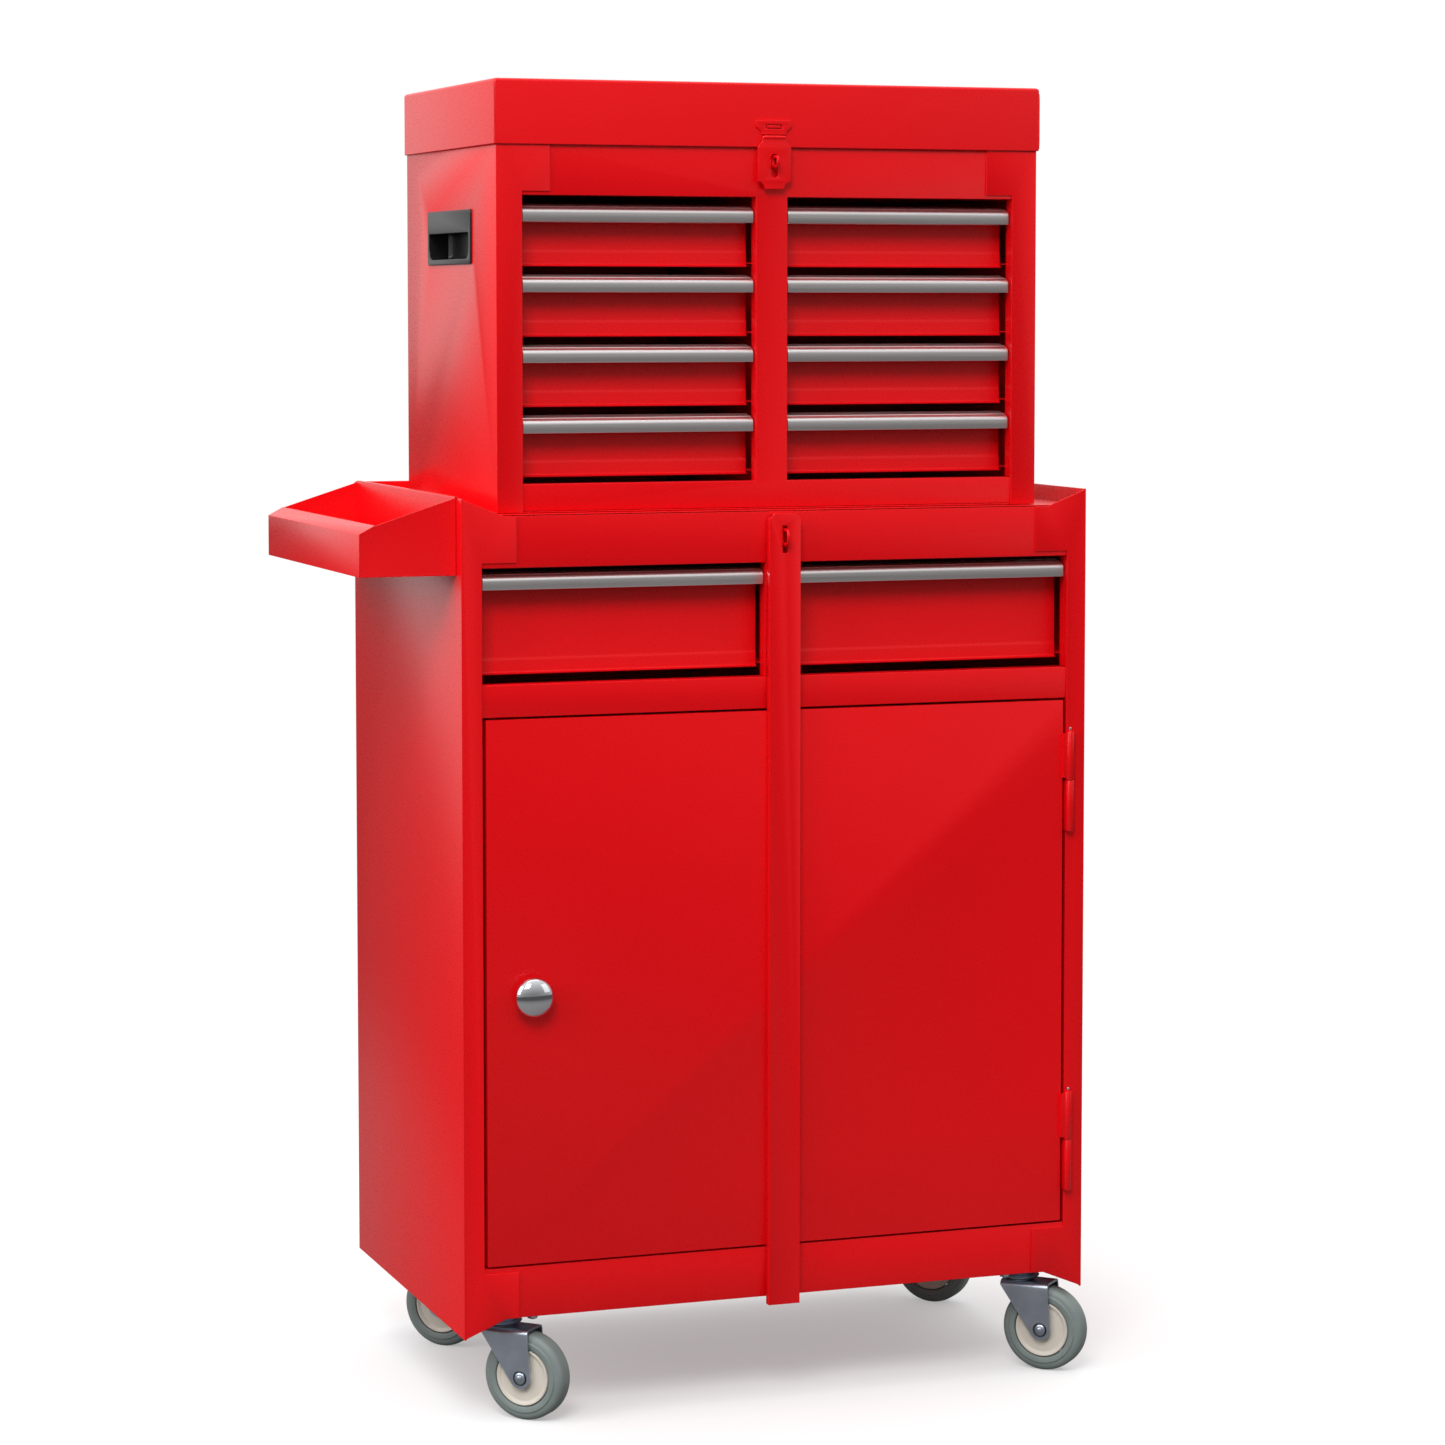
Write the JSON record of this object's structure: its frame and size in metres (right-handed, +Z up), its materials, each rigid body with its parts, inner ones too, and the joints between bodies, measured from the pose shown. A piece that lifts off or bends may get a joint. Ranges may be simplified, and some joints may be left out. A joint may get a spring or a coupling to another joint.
{
  "type": "rolling tool chest",
  "caption": "Steel drawer chest with a lift-up lid standing on a wheeled cabinet with wide drawers, a hinged door, a lock bar and a side tray.",
  "frame": {"origin": "on the floor, at the middle of the whole object's footprint", "axes": "+Z up, -Y out of the front, the side tray on the -X side"},
  "size_m": [0.6401, 0.363, 1.106],
  "materials": {
    "powder_red": "glossy powder coat",
    "pull_aluminium": "satin",
    "chrome": "polished",
    "zinc_plate": "bright zinc",
    "black_moulding": "fine grain",
    "tyre_rubber": "grey non-marking",
    "hub_plastic": "moulded"
  },
  "bodies": {
    "cabinet": {"base_shell": "powder_red", "base_top_pan": "powder_red", "base_bottom_pan": "powder_red", "base_apron": "powder_red", "base_mid_rail": "powder_red", "base_bottom_rail": "powder_red", "base_divider": "powder_red", "side_tray": "powder_red", "tray_bolt": "chrome", "hinge_upper_leaf": "powder_red", "hinge_lower_leaf": "powder_red", "caster_front_left_plate": "zinc_plate", "caster_front_right_plate": "zinc_plate", "caster_rear_left_plate": "zinc_plate", "caster_rear_right_plate": "zinc_plate"},
    "door": {"door_panel": "powder_red", "door_knob": "chrome"},
    "lock_bar": {"lock_bar": "powder_red"},
    "base_left_drawer": {"base_left_drawer_box": "powder_red", "base_left_drawer_pull": "pull_aluminium"},
    "base_right_drawer": {"base_right_drawer_box": "powder_red", "base_right_drawer_pull": "pull_aluminium"},
    "caster_front_left_fork": {"caster_front_left_fork": "zinc_plate"},
    "caster_front_left_wheel": {"caster_front_left_hub": "hub_plastic", "caster_front_left_tyre": "tyre_rubber"},
    "caster_front_right_fork": {"caster_front_right_fork": "zinc_plate"},
    "caster_front_right_wheel": {"caster_front_right_hub": "hub_plastic", "caster_front_right_tyre": "tyre_rubber"},
    "caster_rear_left_fork": {"caster_rear_left_fork": "zinc_plate"},
    "caster_rear_left_wheel": {"caster_rear_left_hub": "hub_plastic", "caster_rear_left_tyre": "tyre_rubber"},
    "caster_rear_right_fork": {"caster_rear_right_fork": "zinc_plate"},
    "caster_rear_right_wheel": {"caster_rear_right_hub": "hub_plastic", "caster_rear_right_tyre": "tyre_rubber"},
    "chest": {"chest_shell": "powder_red", "chest_bottom_pan": "powder_red", "chest_front_frame": "powder_red", "chest_divider": "powder_red", "chest_till_floor": "powder_red", "chest_left_grip": "black_moulding", "chest_right_grip": "black_moulding", "lid_hinge_pin": "powder_red"},
    "lid": {"lid_shell": "powder_red"},
    "hasp": {"hasp_plate": "powder_red"},
    "chest_left_drawer_1": {"chest_left_drawer_1_box": "powder_red", "chest_left_drawer_1_pull": "pull_aluminium"},
    "chest_left_drawer_2": {"chest_left_drawer_2_box": "powder_red", "chest_left_drawer_2_pull": "pull_aluminium"},
    "chest_left_drawer_3": {"chest_left_drawer_3_box": "powder_red", "chest_left_drawer_3_pull": "pull_aluminium"},
    "chest_left_drawer_4": {"chest_left_drawer_4_box": "powder_red", "chest_left_drawer_4_pull": "pull_aluminium"},
    "chest_right_drawer_1": {"chest_right_drawer_1_box": "powder_red", "chest_right_drawer_1_pull": "pull_aluminium"},
    "chest_right_drawer_2": {"chest_right_drawer_2_box": "powder_red", "chest_right_drawer_2_pull": "pull_aluminium"},
    "chest_right_drawer_3": {"chest_right_drawer_3_box": "powder_red", "chest_right_drawer_3_pull": "pull_aluminium"},
    "chest_right_drawer_4": {"chest_right_drawer_4_box": "powder_red", "chest_right_drawer_4_pull": "pull_aluminium"}
  },
  "joints": [
    {"name": "door_hinge", "type": "hinge", "parent": "cabinet", "child": "door", "pos_m": [0.3028, -0.1672, 0.3593], "axis": [0, 0, 1], "range_deg": [0, 110]},
    {"name": "lock_bar_pull", "type": "slide", "parent": "door", "child": "lock_bar", "axis": [0, -1, 0], "range_m": [0, 0.05]},
    {"name": "base_left_drawer_slide", "type": "slide", "parent": "cabinet", "child": "base_left_drawer", "axis": [0, -1, 0], "range_m": [0, 0.25]},
    {"name": "base_right_drawer_slide", "type": "slide", "parent": "cabinet", "child": "base_right_drawer", "axis": [0, -1, 0], "range_m": [0, 0.25]},
    {"name": "caster_front_left_swivel", "type": "hinge", "parent": "cabinet", "child": "caster_front_left_fork", "pos_m": [-0.19435, -0.131, 0.08], "axis": [0, 0, 1], "continuous": true},
    {"name": "caster_front_left_roll", "type": "hinge", "parent": "caster_front_left_fork", "child": "caster_front_left_wheel", "pos_m": [-0.17809, -0.14726, 0.0365], "axis": [0.7071, 0.7071, 0], "continuous": true},
    {"name": "caster_front_right_swivel", "type": "hinge", "parent": "cabinet", "child": "caster_front_right_fork", "pos_m": [0.27565, -0.131, 0.08], "axis": [0, 0, 1], "continuous": true},
    {"name": "caster_front_right_roll", "type": "hinge", "parent": "caster_front_right_fork", "child": "caster_front_right_wheel", "pos_m": [0.29191, -0.14726, 0.0365], "axis": [0.7071, 0.7071, 0], "continuous": true},
    {"name": "caster_rear_left_swivel", "type": "hinge", "parent": "cabinet", "child": "caster_rear_left_fork", "pos_m": [-0.19435, 0.121, 0.08], "axis": [0, 0, 1], "continuous": true},
    {"name": "caster_rear_left_roll", "type": "hinge", "parent": "caster_rear_left_fork", "child": "caster_rear_left_wheel", "pos_m": [-0.17809, 0.10474, 0.0365], "axis": [0.7071, 0.7071, 0], "continuous": true},
    {"name": "caster_rear_right_swivel", "type": "hinge", "parent": "cabinet", "child": "caster_rear_right_fork", "pos_m": [0.27565, 0.121, 0.08], "axis": [0, 0, 1], "continuous": true},
    {"name": "caster_rear_right_roll", "type": "hinge", "parent": "caster_rear_right_fork", "child": "caster_rear_right_wheel", "pos_m": [0.29191, 0.10474, 0.0365], "axis": [0.7071, 0.7071, 0], "continuous": true},
    {"name": "chest_lift", "type": "slide", "parent": "cabinet", "child": "chest", "axis": [0, 0, 1], "range_m": [0, 0.12]},
    {"name": "lid_hinge", "type": "hinge", "parent": "chest", "child": "lid", "pos_m": [0.03615, 0.127, 1.0515], "axis": [-1, 0, 0], "range_deg": [0, 98]},
    {"name": "hasp_flip", "type": "hinge", "parent": "lid", "child": "hasp", "pos_m": [0.03615, -0.1558, 1.061], "axis": [-1, 0, 0], "range_deg": [0, 120]},
    {"name": "chest_left_drawer_1_slide", "type": "slide", "parent": "chest", "child": "chest_left_drawer_1", "axis": [0, -1, 0], "range_m": [0, 0.19]},
    {"name": "chest_left_drawer_2_slide", "type": "slide", "parent": "chest", "child": "chest_left_drawer_2", "axis": [0, -1, 0], "range_m": [0, 0.19]},
    {"name": "chest_left_drawer_3_slide", "type": "slide", "parent": "chest", "child": "chest_left_drawer_3", "axis": [0, -1, 0], "range_m": [0, 0.19]},
    {"name": "chest_left_drawer_4_slide", "type": "slide", "parent": "chest", "child": "chest_left_drawer_4", "axis": [0, -1, 0], "range_m": [0, 0.19]},
    {"name": "chest_right_drawer_1_slide", "type": "slide", "parent": "chest", "child": "chest_right_drawer_1", "axis": [0, -1, 0], "range_m": [0, 0.19]},
    {"name": "chest_right_drawer_2_slide", "type": "slide", "parent": "chest", "child": "chest_right_drawer_2", "axis": [0, -1, 0], "range_m": [0, 0.19]},
    {"name": "chest_right_drawer_3_slide", "type": "slide", "parent": "chest", "child": "chest_right_drawer_3", "axis": [0, -1, 0], "range_m": [0, 0.19]},
    {"name": "chest_right_drawer_4_slide", "type": "slide", "parent": "chest", "child": "chest_right_drawer_4", "axis": [0, -1, 0], "range_m": [0, 0.19]}
  ]
}
